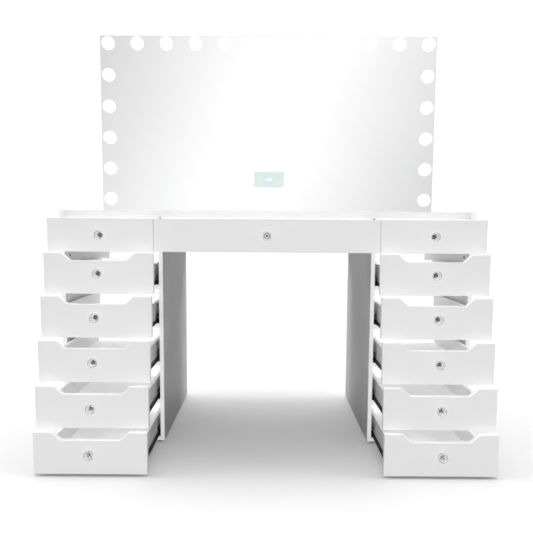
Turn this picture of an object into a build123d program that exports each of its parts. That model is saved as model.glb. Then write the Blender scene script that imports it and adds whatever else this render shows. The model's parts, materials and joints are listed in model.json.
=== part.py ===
from build123d import *
import os

os.makedirs("parts", exist_ok=True)

# Styling station, in millimetres, +X to the right as the customer faces it, +Y to the wall, +Z up.
# While the pieces are made, Y = 0 is the front plane of the cases and Z = 0 is the floor. save()
# then moves each piece so that the origin is the middle of the station's footprint.
# The drawers are made partly pulled out, the upper ones least, as the station is shown.

# ---------------------------------------------------------------- cases
desk_width = 1500
case_depth = 500
pedestal_width = 371
board = 15
back_thickness = 9
top_thickness = 24
rail_depth = 80
drawers_per_pedestal = 5
bay_height = 128
unit_bay_height = 88
glide_height = 8
glide_radius = 13
glide_inset = 22
glide_chamfer = 1.5

# ---------------------------------------------------------------- drawer fronts
front_thickness = 16
front_stand_off = 2
front_reveal = 2
front_spacing = 5
front_seam = 1
unit_front_top_gap = 7
unit_front_drop = 3
notch_from_side = 59
notch_slope = 29
notch_depth = 26
notch_radius = 8

# ---------------------------------------------------------------- drawer boxes
box_side = 12
box_bottom = 6
box_height = 74
unit_box_height = 68
box_lift = 2
box_rear_clearance = 43
groove_depth = 4
groove_height = 8
groove_clearance = 0.2
travel_at_rest = (88, 121, 152, 179, 207, 231)

# ---------------------------------------------------------------- runners
runner_height = 35
runner_space = 12.7
runner_metal = 1.2
runner_reach = 9
runner_setback = 4
runner_rear_clearance = 46
slide_height = 12
slide_lift = 3
slide_reach = 7.5

# ---------------------------------------------------------------- knobs
knob_rose_radius = 11
knob_rose = 3
knob_neck_radius = 6
knob_neck = 5
crystal_facets = 8
crystal_radius = 16
crystal_table_radius = 9
crystal_back = 7
crystal_girdle = 5
crystal_crown = 8
knob_screw_radius = 2
knob_screw_head_radius = 4.5
knob_screw_head = 2.5
hole_clearance = 0.2

# ---------------------------------------------------------------- screws and bumpers
screw_radius = 2
screw_head_radius = 4
screw_head = 2.5
side_screw_setback = 45
side_screw_drop = 24
side_screw_length = 11
unit_screw_length = 24
unit_screw_inset = 60
bumper_radius = 6
bumper_thickness = 1.8
bumper_drop = 7

# ---------------------------------------------------------------- mirror
mirror_width = 1450
mirror_height = 761
mirror_rear_room = 58
glass_thickness = 5
glass_overhang = 2
housing_depth = 40
cover_thickness = 5
mirror_rail = 18
mirror_base_rail = 36
bulbs_across = 12
bulbs_down = 6
bulb_side_inset = 45
bulb_top_inset = 44
bulb_bottom_inset = 63
bulb_radius = 26.5
bulb_neck_radius = 13
bulb_neck_length = 53
bulb_stand = 31
socket_collar_radius = 17
socket_collar = 6
socket_body_radius = 15
socket_body = 32
socket_floor = 10
socket_clearance = 0.5
bracket_places = (-480, 0, 480)
bracket_width = 50
bracket_leg = 48
bracket_metal = 3
bracket_screw_pitch = 26
bracket_screw_height = 18
bracket_screw_setback = 34
bracket_screw_length = 22
cover_screw_pitch = 340
cover_screw_length = 20

# ---------------------------------------------------------------- electrics in the mirror
display_width = 150
display_height = 80
display_depth = 22
display_centre_height = 152
driver_length = 160
driver_height = 50
driver_depth = 25
driver_centre = (470, 92)
inlet_centre = (300, 92)
inlet_flange = (38, 24, 3)
inlet_body = (30, 18, 20)
inlet_socket = (15, 8, 14)
inlet_pin_radius = 1.2
inlet_pin_pitch = 8.6
inlet_pin_length = 11
loom_radius = 3
loom_gap = 9
loom_bend = 40
lead_bend = 20

# ---------------------------------------------------------------- worked out from the above
half_width = desk_width / 2
knee_half_width = half_width - pedestal_width
bay_width = pedestal_width - 2 * board
pitch = bay_height + board
pedestal_bottom = glide_height
pedestal_top = pedestal_bottom + board + drawers_per_pedestal * pitch
desk_height = pedestal_top + board + unit_bay_height + top_thickness
case_inside_depth = case_depth - back_thickness
box_depth = case_inside_depth + front_stand_off - box_rear_clearance
runner_length = box_depth - runner_rear_clearance
front_height = pitch - front_spacing
unit_front_height = 2 * board + unit_bay_height - unit_front_top_gap + unit_front_drop
divider_middle = knee_half_width + board / 2
knob_length = knob_rose + knob_neck + crystal_back + crystal_girdle + crystal_crown

mirror_back = case_depth - mirror_rear_room
housing_back = mirror_back - cover_thickness
glass_back = housing_back - housing_depth
mirror_setback = glass_back - glass_thickness
mirror_top = desk_height + mirror_height
housing_half_width = mirror_width / 2 - glass_overhang
housing_bottom = desk_height
housing_top = mirror_top - glass_overhang

foremost = -(front_stand_off + front_thickness + knob_length + max(travel_at_rest))
rearmost = max(case_depth, mirror_back + bracket_metal)
middle_y = (foremost + rearmost) / 2


def board_between(x, y, z):
    """A square-edged board between two corners, each range given low, high."""
    size = (x[1] - x[0], y[1] - y[0], z[1] - z[0])
    return Pos((x[0] + x[1]) / 2, (y[0] + y[1]) / 2, (z[0] + z[1]) / 2) * Box(*size)


def rod(start, direction, radius, length):
    """A round bar from a point along a direction."""
    foot = (Align.CENTER, Align.CENTER, Align.MIN)
    return Plane(origin=start, z_dir=direction) * Cylinder(radius, length, align=foot)


def mirrored(x):
    """The same range of X on the other side of the middle."""
    return (-x[1], -x[0])


def solids_of(shapes):
    """Every solid of a list of shapes, kept apart."""
    return [solid for shape in shapes for solid in shape.solids()]


def save(name, *shapes):
    """Write one sub-part, moved to the station's own origin."""
    placed = [Pos(0, -middle_y, 0) * solid for solid in solids_of(shapes)]
    whole = placed[0] if len(placed) == 1 else Compound(placed)
    whole.label = name
    export_step(whole, f"parts/{name}.step")


# ---------------------------------------------------------------- screws
def screw(place):
    """A pan-head screw: place is the point under its head, its direction and its length."""
    point, direction, length = place
    back = tuple(-d for d in direction)
    return rod(point, direction, screw_radius, length) + rod(point, back, screw_head_radius, screw_head)


def drilled(shape, places):
    """The shape with a clearance hole for each screw."""
    for point, direction, length in places:
        shape = shape - rod(point, direction, screw_radius + hole_clearance, length + hole_clearance)
    return shape


def bay_floor(number):
    """Height of the floor of a pedestal bay, counted from the lowest as 0."""
    return pedestal_bottom + board + number * pitch


def side_screws():
    """Screws on the inner faces of the pedestal sides, near the front and below each rail."""
    places = []
    for side in (-1, 1):
        for face, direction in ((half_width - board, 1), (knee_half_width + board, -1)):
            for number in range(drawers_per_pedestal):
                height = bay_floor(number) + bay_height - side_screw_drop
                point = (side * face, side_screw_setback, height)
                places.append((point, (side * direction, 0, 0), side_screw_length))
    return places


def unit_screws():
    """Screws up through the pedestals' top decks into the desk unit's bottom."""
    places = []
    for side in (-1, 1):
        for x in (knee_half_width + unit_screw_inset, half_width - unit_screw_inset):
            for y in (unit_screw_inset, case_depth - unit_screw_inset):
                places.append(((side * x, y, pedestal_top - board), (0, 0, 1), unit_screw_length))
    return places


def bracket_desk_screws():
    """Screws down through the brackets' feet into the desk top."""
    places = []
    for middle in bracket_places:
        for x in (middle - bracket_screw_pitch / 2, middle + bracket_screw_pitch / 2):
            point = (x, mirror_back + bracket_screw_setback, desk_height + bracket_metal)
            places.append((point, (0, 0, -1), bracket_screw_length))
    return places


def bracket_mirror_screws():
    """Screws through the brackets and the back cover into the mirror's base rail."""
    places = []
    for middle in bracket_places:
        for x in (middle - bracket_screw_pitch / 2, middle + bracket_screw_pitch / 2):
            point = (x, mirror_back + bracket_metal, desk_height + bracket_screw_height)
            places.append((point, (0, -1, 0), bracket_screw_length))
    return places


def cover_screws():
    """Screws through the mirror's back cover into its top and side rails."""
    across = round(2 * housing_half_width / cover_screw_pitch)
    step = 2 * (housing_half_width - mirror_rail / 2) / across
    places = []
    for number in range(across + 1):
        x = -housing_half_width + mirror_rail / 2 + number * step
        places.append((x, housing_top - mirror_rail / 2))
    for side in (-1, 1):
        for share in (1 / 3, 2 / 3):
            height = housing_bottom + share * (housing_top - housing_bottom)
            places.append((side * (housing_half_width - mirror_rail / 2), height))
    return [((x, mirror_back, z), (0, -1, 0), cover_screw_length) for x, z in places]


# ---------------------------------------------------------------- pedestals
def pedestal_x(side):
    """The pedestal's range of X: side is -1 for the left one, 1 for the right."""
    x = (knee_half_width, half_width)
    return x if side > 0 else mirrored(x)


def pedestal_sides(side):
    low, high = pedestal_x(side)
    depth = (0, case_depth)
    height = (pedestal_bottom, pedestal_top)
    pair = [board_between((low, low + board), depth, height),
            board_between((high - board, high), depth, height)]
    return [drilled(one, side_screws()) for one in pair]


def pedestal_decks(side):
    """Bottom deck, front rails between the bays, and top deck."""
    low, high = pedestal_x(side)
    x = (low + board, high - board)
    pieces = [board_between(x, (0, case_inside_depth), (pedestal_bottom, pedestal_bottom + board))]
    for number in range(1, drawers_per_pedestal):
        z = bay_floor(number)
        pieces.append(board_between(x, (0, rail_depth), (z - board, z)))
    top = board_between(x, (0, case_inside_depth), (pedestal_top - board, pedestal_top))
    pieces.append(drilled(top, unit_screws()))
    return pieces


def pedestal_back(side):
    low, high = pedestal_x(side)
    return board_between((low + board, high - board), (case_inside_depth, case_depth),
                         (pedestal_bottom, pedestal_top))


def glides():
    """Round floor glides under the corners of both pedestals."""
    pieces = []
    foot = (Align.CENTER, Align.CENTER, Align.MIN)
    for side in (-1, 1):
        for x in (knee_half_width + glide_inset, half_width - glide_inset):
            for y in (glide_inset, case_depth - glide_inset):
                disc = Cylinder(glide_radius, glide_height, align=foot)
                disc = chamfer(disc.edges().group_by(Axis.Z)[0], glide_chamfer)
                pieces.append(Pos(side * x, y, 0) * disc)
    return pieces


# ---------------------------------------------------------------- desk unit
def unit_panels():
    """End boards, dividers, bottom and top front rails of the desk unit."""
    floor = (pedestal_top, pedestal_top + board)
    under_top = desk_height - top_thickness
    bottom = board_between((-half_width + board, half_width - board), (0, case_inside_depth), floor)
    pieces = [drilled(bottom, unit_screws())]
    for side in (-1, 1):
        end = (half_width - board, half_width)
        divider = (knee_half_width, knee_half_width + board)
        if side < 0:
            end, divider = mirrored(end), mirrored(divider)
        pieces.append(board_between(end, (0, case_depth), (pedestal_top, desk_height)))
        pieces.append(board_between(divider, (0, case_inside_depth), (floor[1], under_top)))
    between = (half_width - board, knee_half_width + board)
    for x in ((-between[0], -between[1]), (-knee_half_width, knee_half_width), between[::-1]):
        pieces.append(board_between(x, (0, rail_depth), (under_top - board, under_top)))
    return pieces


def unit_back():
    return board_between((-half_width + board, half_width - board), (case_inside_depth, case_depth),
                         (pedestal_top, desk_height - top_thickness))


def desk_top():
    top = board_between((-half_width + board, half_width - board), (0, case_depth),
                        (desk_height - top_thickness, desk_height))
    return drilled(top, bracket_desk_screws())


def bumpers():
    """Rubber discs on the dividers' front edges, near the top and the bottom of the unit's bays."""
    floor = pedestal_top + board
    heights = (floor + bumper_drop, desk_height - top_thickness - bumper_drop)
    return [rod((side * divider_middle, 0, z), (0, -1, 0), bumper_radius, bumper_thickness)
            for side in (-1, 1) for z in heights]


# ---------------------------------------------------------------- runners
def channel(web, reach, height, front, centre_height):
    """A channel-section rail along Y: its web's outer face at X = web, its flanges reaching by reach."""
    inwards = 1 if reach > 0 else -1
    x = sorted((web, web + reach))
    hollow = sorted((web + inwards * runner_metal, web + reach))
    y = (front, front + runner_length)
    z = (centre_height - height / 2, centre_height + height / 2)
    inside = (z[0] + runner_metal, z[1] - runner_metal)
    return board_between(x, y, z) - board_between(hollow, y, inside)


def cabinet_runners():
    """The fixed member of every runner, one against each wall of each bay, standing on its floor."""
    bays = [(side * (half_width + knee_half_width) / 2, bay_width, bay_floor(number))
            for side in (-1, 1) for number in range(drawers_per_pedestal)]
    unit_floor = pedestal_top + board
    bays += [(side * (half_width + knee_half_width) / 2, bay_width, unit_floor) for side in (-1, 1)]
    bays += [(0, 2 * knee_half_width, unit_floor)]
    pieces = []
    for middle, width, floor in bays:
        for side in (-1, 1):
            wall = middle + side * width / 2
            pieces.append(channel(wall, -side * runner_reach, runner_height, runner_setback,
                                  floor + runner_height / 2))
    return pieces


# ---------------------------------------------------------------- drawers
def notched_front(x, z):
    """A front with a hand notch in its top edge: sloping ends and rounded corners."""
    plate = board_between(x, (-front_thickness, 0), z)
    top = z[1]
    floor = top - notch_depth
    left, right = x[0] + notch_from_side, x[1] - notch_from_side
    outline = Polyline((left, top), (left + notch_slope, floor), (right - notch_slope, floor),
                       (right, top), (left, top))
    notch = extrude(Plane.XZ * make_face(outline), front_thickness)
    plate = plate - notch
    ends = [edge for edge in plate.edges().filter_by(Axis.Y)
            if left - 1 < edge.center().X < right + 1 and edge.center().Z > floor - 1]
    return fillet(ends, notch_radius)


def crystal():
    """A faceted crystal, pointing along +Z from the neck: back, girdle and crown."""
    levels = (0, crystal_back, crystal_back + crystal_girdle, crystal_back + crystal_girdle + crystal_crown)
    radii = (crystal_table_radius, crystal_radius, crystal_radius, crystal_table_radius)
    outlines = [Pos(0, 0, level) * RegularPolygon(radius, crystal_facets)
                for level, radius in zip(levels, radii)]
    return loft(outlines, ruled=True)


def knob(x, y, z):
    """A crystal knob on a metal rose and neck, with the screw that holds it through the front."""
    forward = (0, -1, 0)
    metal = rod((x, y, z), forward, knob_rose_radius, knob_rose)
    metal += rod((x, y - knob_rose, z), forward, knob_neck_radius, knob_neck)
    back = y + front_thickness
    metal += rod((x, back, z), forward, knob_screw_radius, front_thickness)
    metal += rod((x, back, z), (0, 1, 0), knob_screw_head_radius, knob_screw_head)
    stone = Plane(origin=(x, y - knob_rose - knob_neck, z), z_dir=forward) * crystal()
    return [metal, stone]


def box_boards(middle, width, back_of_front, bottom_edge, height):
    """Sides, back and bottom of a drawer box; the bottom sits in grooves in the other three."""
    low, high = middle - width / 2, middle + width / 2
    y = (back_of_front, back_of_front + box_depth)
    z = (bottom_edge, bottom_edge + height)
    inner = (low + box_side, high - box_side)
    panel_x = (inner[0] - groove_depth, inner[1] + groove_depth)
    panel_y = (y[0], y[1] - box_side + groove_depth)
    panel_z = (bottom_edge + groove_height, bottom_edge + groove_height + box_bottom)
    groove = board_between((panel_x[0] - groove_clearance, panel_x[1] + groove_clearance),
                           (panel_y[0], panel_y[1] + groove_clearance), panel_z)
    sides = [board_between((low, inner[0]), y, z), board_between((inner[1], high), y, z)]
    back = board_between(inner, (y[1] - box_side, y[1]), z)
    bottom = board_between(panel_x, panel_y, panel_z)
    return [piece - groove for piece in (*sides, back)] + [bottom]


def drawer(name, middle, bay, floor, height, front_x, front_z, travel, notched):
    """One drawer, pulled out by travel: its box with the moving runner members, front and knob."""
    back_of_front = -front_stand_off - travel
    width = bay - 2 * runner_space
    boards = box_boards(middle, width, back_of_front, floor + box_lift, height)
    slide_front = runner_setback - travel
    slides = [channel(middle + side * width / 2, side * slide_reach, slide_height, slide_front,
                      floor + slide_lift + slide_height / 2) for side in (-1, 1)]
    save(f"{name}_box", *boards, *slides)

    face = back_of_front - front_thickness
    knob_at = ((front_x[0] + front_x[1]) / 2, face, (front_z[0] + front_z[1]) / 2)
    if notched:
        front = Pos(0, back_of_front, 0) * notched_front(front_x, front_z)
    else:
        front = board_between(front_x, (face, back_of_front), front_z)
    front = front - rod(knob_at, (0, 1, 0), knob_screw_radius + hole_clearance, front_thickness)
    save(f"{name}_front", front)
    save(f"{name}_knob", *knob(*knob_at))


def pedestal_drawers(word, side):
    """The drawers of one pedestal, numbered 1 from the top."""
    low, high = pedestal_x(side)
    for number in range(1, drawers_per_pedestal + 1):
        floor = bay_floor(drawers_per_pedestal - number)
        front_bottom = floor - board
        drawer(f"{word}_drawer_{number}", (low + high) / 2, bay_width, floor, box_height,
               (low + front_reveal, high - front_reveal), (front_bottom, front_bottom + front_height),
               travel_at_rest[number], True)


def unit_drawers():
    """The three plain-fronted drawers of the desk unit."""
    floor = pedestal_top + board
    front_bottom = pedestal_top - board - unit_front_drop
    front_z = (front_bottom, front_bottom + unit_front_height)
    inner, outer = divider_middle + front_seam / 2, half_width - front_reveal
    side_middle = (half_width + knee_half_width) / 2
    places = (("top_left_drawer", -side_middle, bay_width, (-outer, -inner)),
              ("top_centre_drawer", 0, 2 * knee_half_width,
               (-divider_middle + front_seam / 2, divider_middle - front_seam / 2)),
              ("top_right_drawer", side_middle, bay_width, (inner, outer)))
    for name, middle, bay, front_x in places:
        drawer(name, middle, bay, floor, unit_box_height, front_x, front_z, travel_at_rest[0], False)


# ---------------------------------------------------------------- mirror
def bulb_places():
    """X and Z of every bulb: along the top, then down both sides below the corners."""
    x_end = mirror_width / 2 - bulb_side_inset
    z_top = mirror_top - bulb_top_inset
    z_low = desk_height + bulb_bottom_inset
    x_step = 2 * x_end / (bulbs_across - 1)
    z_step = (z_top - z_low) / (bulbs_down - 1)
    along = [(-x_end + number * x_step, z_top) for number in range(bulbs_across)]
    down = [(side * x_end, z_top - number * z_step) for side in (-1, 1) for number in range(1, bulbs_down)]
    return along + down


def glass():
    """The mirror's glass, with a round hole for each bulb socket."""
    sheet = board_between((-mirror_width / 2, mirror_width / 2), (mirror_setback, glass_back),
                          (desk_height + glass_overhang, mirror_top))
    holes = [rod((x, mirror_setback, z), (0, 1, 0), socket_body_radius + socket_clearance, glass_thickness)
             for x, z in bulb_places()]
    return sheet - holes


def mirror_frame():
    """Base rail, top rail and side rails behind the glass."""
    y = (glass_back, housing_back)
    base_top = housing_bottom + mirror_base_rail
    x = (-housing_half_width, housing_half_width)
    upright = (base_top, housing_top - mirror_rail)
    pieces = [board_between(x, y, (housing_bottom, base_top)),
              board_between(x, y, (upright[1], housing_top)),
              board_between((x[0], x[0] + mirror_rail), y, upright),
              board_between((x[1] - mirror_rail, x[1]), y, upright)]
    places = bracket_mirror_screws() + cover_screws()
    return [drilled(piece, places) for piece in pieces]


def back_cover():
    sheet = board_between((-housing_half_width, housing_half_width), (housing_back, mirror_back),
                          (housing_bottom, housing_top))
    x, z = inlet_centre[0], desk_height + inlet_centre[1]
    window = board_between((x - inlet_body[0] / 2, x + inlet_body[0] / 2), (housing_back, mirror_back),
                           (z - inlet_body[1] / 2, z + inlet_body[1] / 2))
    return drilled(sheet - window, bracket_mirror_screws() + cover_screws())


def brackets():
    """Angle brackets behind the mirror: one leg on the desk top, one up the back cover."""
    pieces = []
    for middle in bracket_places:
        x = (middle - bracket_width / 2, middle + bracket_width / 2)
        back = mirror_back + bracket_metal
        upright = board_between(x, (mirror_back, back), (desk_height, desk_height + bracket_leg))
        foot = board_between(x, (mirror_back, mirror_back + bracket_leg),
                             (desk_height, desk_height + bracket_metal))
        pieces.append(drilled(upright + foot, bracket_desk_screws() + bracket_mirror_screws()))
    return pieces


def bulbs():
    """White globe bulbs, their caps standing on the sockets' floors."""
    pieces = []
    for x, z in bulb_places():
        centre = (x, mirror_setback - bulb_stand, z)
        pieces.append(Pos(*centre) * Sphere(bulb_radius) + rod(centre, (0, 1, 0), bulb_neck_radius,
                                                               bulb_neck_length))
    return pieces


def sockets():
    """Lamp sockets: a collar on the glass and a body through it, open to the front."""
    pieces = []
    for x, z in bulb_places():
        mouth = (x, mirror_setback - socket_collar, z)
        body = rod(mouth, (0, 1, 0), socket_collar_radius, socket_collar)
        body += rod((x, mirror_setback, z), (0, 1, 0), socket_body_radius, socket_body)
        bore = socket_collar + socket_body - socket_floor
        pieces.append(body - rod(mouth, (0, 1, 0), bulb_neck_radius + socket_clearance, bore))
    return pieces


def display():
    """Touch display module, against the back of the glass."""
    z = desk_height + display_centre_height
    return board_between((-display_width / 2, display_width / 2), (glass_back, glass_back + display_depth),
                         (z - display_height / 2, z + display_height / 2))


def driver():
    """LED driver, fixed to the inside of the back cover."""
    x, z = driver_centre[0], desk_height + driver_centre[1]
    return board_between((x - driver_length / 2, x + driver_length / 2),
                         (housing_back - driver_depth, housing_back),
                         (z - driver_height / 2, z + driver_height / 2))


def inlet():
    """Two-pin power inlet in the back cover: flanged body with its socket, and the pins."""
    x, z = inlet_centre[0], desk_height + inlet_centre[1]

    def block(size, y):
        return board_between((x - size[0] / 2, x + size[0] / 2), y, (z - size[1] / 2, z + size[1] / 2))

    flange_back = mirror_back + inlet_flange[2]
    body_front = mirror_back - inlet_body[2]
    socket_end = flange_back - inlet_socket[2]
    body = block(inlet_flange, (mirror_back, flange_back)) + block(inlet_body, (body_front, mirror_back))
    body = body - block(inlet_socket, (socket_end, flange_back))
    pins = [rod((x + side * inlet_pin_pitch / 2, socket_end, z), (0, 1, 0), inlet_pin_radius,
                inlet_pin_length) for side in (-1, 1)]
    return [body, *pins]


def lead(points, bend):
    """A round lead along straight runs joined by arcs."""
    path = FilletPolyline(*points, radius=bend) if len(points) > 2 else Line(*points)
    start = Plane(origin=path @ 0, z_dir=path % 0)
    return sweep(start * Circle(loom_radius), path=path)


def wiring():
    """Lamp loom round the sockets to the driver, display lead, and lead from the inlet."""
    y = housing_back - driver_depth / 2
    x_loom = mirror_width / 2 - bulb_side_inset - socket_body_radius - loom_gap
    z_top = mirror_top - bulb_top_inset - socket_body_radius - loom_gap
    z_driver = desk_height + driver_centre[1]
    driver_x = (driver_centre[0] - driver_length / 2, driver_centre[0] + driver_length / 2)
    z_low = desk_height + bulb_bottom_inset
    loom = lead([(-x_loom, y, z_low), (-x_loom, y, z_top), (x_loom, y, z_top), (x_loom, y, z_driver),
                 (driver_x[1], y, z_driver)], (loom_bend, loom_bend, lead_bend))
    inlet_end = inlet_centre[0] + inlet_body[0] / 2
    mains = lead([(inlet_end, y, z_driver), (driver_x[0], y, z_driver)], lead_bend)
    y_signal = glass_back + display_depth - loom_radius
    z_display = desk_height + display_centre_height
    signal = lead([(display_width / 2, y_signal, z_display), (driver_centre[0], y_signal, z_display),
                   (driver_centre[0], y_signal, z_driver + driver_height / 2)], lead_bend)
    return [loom, mains, signal]


# ---------------------------------------------------------------- write every sub-part
save("left_pedestal_sides", *pedestal_sides(-1))
save("right_pedestal_sides", *pedestal_sides(1))
save("left_pedestal_decks_and_rails", *pedestal_decks(-1))
save("right_pedestal_decks_and_rails", *pedestal_decks(1))
save("back_panels", pedestal_back(-1), pedestal_back(1), unit_back())
save("floor_glides", *glides())
save("desk_unit_panels", *unit_panels())
save("desk_top", desk_top())
save("front_bumpers", *bumpers())
save("cabinet_runners", *cabinet_runners())
save("screws", *[screw(place) for place in side_screws() + unit_screws() + bracket_desk_screws()
                 + bracket_mirror_screws() + cover_screws()])
pedestal_drawers("left", -1)
pedestal_drawers("right", 1)
unit_drawers()
save("mirror_glass", glass())
save("mirror_frame", *mirror_frame())
save("mirror_back_cover", back_cover())
save("mirror_brackets", *brackets())
save("bulbs", *bulbs())
save("bulb_sockets", *sockets())
save("touch_display", display())
save("led_driver", driver())
save("power_inlet", *inlet())
save("wiring_loom", *wiring())
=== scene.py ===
"""Visible pieces of a salon styling station, laid out as a Blender add-on and run as a script.

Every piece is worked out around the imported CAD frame, in metres: +X to the customer's right,
+Y to the wall, +Z up. The drawers stand partly open at rest, and each rides on its own body.
"""

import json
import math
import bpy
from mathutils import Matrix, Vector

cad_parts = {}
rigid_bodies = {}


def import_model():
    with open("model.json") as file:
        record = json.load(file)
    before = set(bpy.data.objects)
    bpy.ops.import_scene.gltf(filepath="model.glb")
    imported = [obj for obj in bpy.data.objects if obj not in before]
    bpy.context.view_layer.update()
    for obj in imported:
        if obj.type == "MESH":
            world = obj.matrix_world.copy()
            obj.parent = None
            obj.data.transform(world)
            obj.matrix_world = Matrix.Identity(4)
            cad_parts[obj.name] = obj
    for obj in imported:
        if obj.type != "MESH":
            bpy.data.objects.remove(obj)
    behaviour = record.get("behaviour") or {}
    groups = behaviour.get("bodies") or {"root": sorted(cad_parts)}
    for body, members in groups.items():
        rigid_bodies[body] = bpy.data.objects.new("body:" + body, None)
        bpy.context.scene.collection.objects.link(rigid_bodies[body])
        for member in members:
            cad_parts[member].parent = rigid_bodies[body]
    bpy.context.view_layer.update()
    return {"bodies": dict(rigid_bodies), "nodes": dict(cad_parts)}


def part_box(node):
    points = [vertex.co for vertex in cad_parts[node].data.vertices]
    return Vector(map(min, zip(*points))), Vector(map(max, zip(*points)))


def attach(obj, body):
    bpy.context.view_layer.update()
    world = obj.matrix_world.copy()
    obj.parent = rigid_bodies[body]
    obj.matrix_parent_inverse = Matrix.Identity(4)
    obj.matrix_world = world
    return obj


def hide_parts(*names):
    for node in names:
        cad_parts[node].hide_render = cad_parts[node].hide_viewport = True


bl_info = {
    "name": "Styling station",
    "version": (1, 0, 0),
    "blender": (4, 5, 0),
    "location": "3D View > Sidebar > Station",
    "description": "Builds the boards, drawers, mirror and lamps of a salon styling station",
    "category": "Add Mesh",
}

import bmesh
import bpy
import numpy as np
from bpy.props import FloatProperty, FloatVectorProperty, IntProperty, PointerProperty
from bpy.types import Operator, Panel, PropertyGroup
from mathutils import Euler

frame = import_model()
STATION = "station"
DRAWERS = [name for name in frame["bodies"] if name != STATION]
X, Y, Z = 0, 1, 2


# ------------------------------------------------------------------ sizes and colours
def length(name, description, default):
    """A size in metres that a user can change."""
    return FloatProperty(name=name, description=description, default=default, min=0.0,
                         unit="LENGTH", precision=4)


def colour(name, description, default):
    """A colour that a user can change, in linear light."""
    return FloatVectorProperty(name=name, description=description, default=default, size=3,
                               min=0.0, max=1.0, subtype="COLOR")


class StationSizes(PropertyGroup):
    """Sizes of details that the frame's boxes don't give."""

    board: length("Board", "Thickness of the case boards", 0.015)
    rail_depth: length("Rail depth", "Depth of the rails between the drawer bays", 0.080)
    board_edge: length("Board edge", "Rounding of the case boards' edges", 0.0008)
    front_edge: length("Front edge", "Rounding of the drawer fronts' edges", 0.0009)
    notch_from_side: length("Notch from side", "Start of the notch from the front's side", 0.059)
    notch_slope: length("Notch slope", "Width of the hand notch's sloping ends", 0.029)
    notch_depth: length("Notch depth", "Depth of the hand notch", 0.026)
    notch_radius: length("Notch radius", "Rounding of the hand notch's corners", 0.008)
    box_side: length("Box side", "Thickness of the drawer boxes' sides", 0.012)
    box_bottom: length("Box bottom", "Thickness of the drawer boxes' bottoms", 0.006)
    groove_height: length("Groove height", "Height of the bottom's groove in the box sides", 0.008)
    groove_depth: length("Groove depth", "Depth of the bottom's groove in the box sides", 0.004)
    runner_metal: length("Runner metal", "Sheet thickness of the runners", 0.0012)
    runner_reach: length("Runner reach", "Width of the fixed runner members", 0.009)
    runner_lip: length("Runner lip", "Turned-in lip that holds the runner's balls", 0.0026)
    slide_height: length("Slide height", "Height of the moving runner members", 0.012)
    slide_reach: length("Slide reach", "Width of the moving runner members", 0.0075)
    slide_over_box: length("Slide over box", "Centre of a moving member above its box's foot",
                           0.007)
    bulb_radius: length("Bulb radius", "Radius of the globe bulbs", 0.0265)
    bulb_stand: length("Bulb stand", "Distance of a bulb's centre in front of the glass", 0.031)
    window_width: length("Window width", "Width of the lit window in the mirror", 0.129)
    window_height: length("Window height", "Height of the lit window in the mirror", 0.066)
    window_shift: length("Window shift", "Lit window's offset to the right of its module", 0.007)
    bulbs_across: IntProperty(name="Bulbs across", description="Bulbs along the mirror's top",
                              default=12, min=2)
    bulbs_down: IntProperty(name="Bulbs down", description="Bulbs down each side, corner included",
                            default=6, min=2)


class StationColours(PropertyGroup):
    """Colours of the station's finishes."""

    case: colour("Case lacquer", "Lacquer of the pedestals and the desk unit", (0.84, 0.84, 0.84))
    front: colour("Front lacquer", "Lacquer of the drawer fronts", (0.86, 0.86, 0.86))
    # Darker than the case and front lacquers as painted shade: the desk top's white is held down
    # against the strong overhead light.
    top: colour("Top lacquer", "Gloss lacquer of the desk top", (0.70, 0.70, 0.70))
    foil: colour("Box foil", "Foil on the drawer boxes' boards", (0.93, 0.93, 0.93))
    runner: colour("Runner black", "Black coating of the drawer runners", (0.012, 0.012, 0.013))
    plastic: colour("White plastic", "Moulded plastic of the lamp sockets", (0.86, 0.86, 0.85))
    opal: colour("Opal", "Diffuser of the globe bulbs", (0.95, 0.95, 0.94))
    window: colour("Lit window", "Pale green of the lit touch window", (0.73, 0.84, 0.77))
    dial: colour("Window dial", "Pale blue of the touch window's dial", (0.70, 0.81, 0.90))
    sheet: colour("Cover sheet", "Powder coat of the mirror's back cover", (0.80, 0.80, 0.80))


# ------------------------------------------------------------------ surfaces
class Surface:
    """Points, faces in groups of equal corner count, and the true normal at each point."""

    def __init__(self, points, faces, normals=None):
        self.points = np.asarray(points, float)
        self.faces = [np.asarray(group, int) for group in faces if len(group)]
        self.normals = normals


def joined(surfaces):
    """Several surfaces as one."""
    surfaces = list(surfaces)
    start = np.cumsum([0] + [len(s.points) for s in surfaces])
    faces = [group + first for s, first in zip(surfaces, start) for group in s.faces]
    known = all(s.normals is not None for s in surfaces)
    normals = np.concatenate([s.normals for s in surfaces]) if known else None
    return Surface(np.concatenate([s.points for s in surfaces]), faces, normals)


def copied(surface, offsets):
    """The surface repeated at each offset: point + offset."""
    offsets = np.asarray(offsets, float)
    count = len(surface.points)
    points = (surface.points[None] + offsets[:, None]).reshape(-1, 3)
    shift = (np.arange(len(offsets)) * count)[:, None, None]
    faces = [(group[None] + shift).reshape(-1, group.shape[1]) for group in surface.faces]
    normals = None if surface.normals is None else np.tile(surface.normals, (len(offsets), 1))
    return Surface(points, faces, normals)


def grid_quads(rows, columns, closed_rows=False, closed_columns=False):
    """Corner numbers of the quads of a grid of rows x columns points."""
    i = np.arange(rows if closed_rows else rows - 1)[:, None]
    j = np.arange(columns if closed_columns else columns - 1)[None, :]
    i_next, j_next = (i + 1) % rows, (j + 1) % columns
    corners = (i * columns + j, i_next * columns + j, i_next * columns + j_next,
               i * columns + j_next)
    return np.stack(np.broadcast_arrays(*corners), axis=-1).reshape(-1, 4)


def welded(points, quads, normals):
    """The same surface with points that coincide made one."""
    _, first, number = np.unique(np.round(points, 7), axis=0, return_index=True,
                                 return_inverse=True)
    return Surface(points[first], [number.reshape(-1)[quads]], normals[first])


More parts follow.
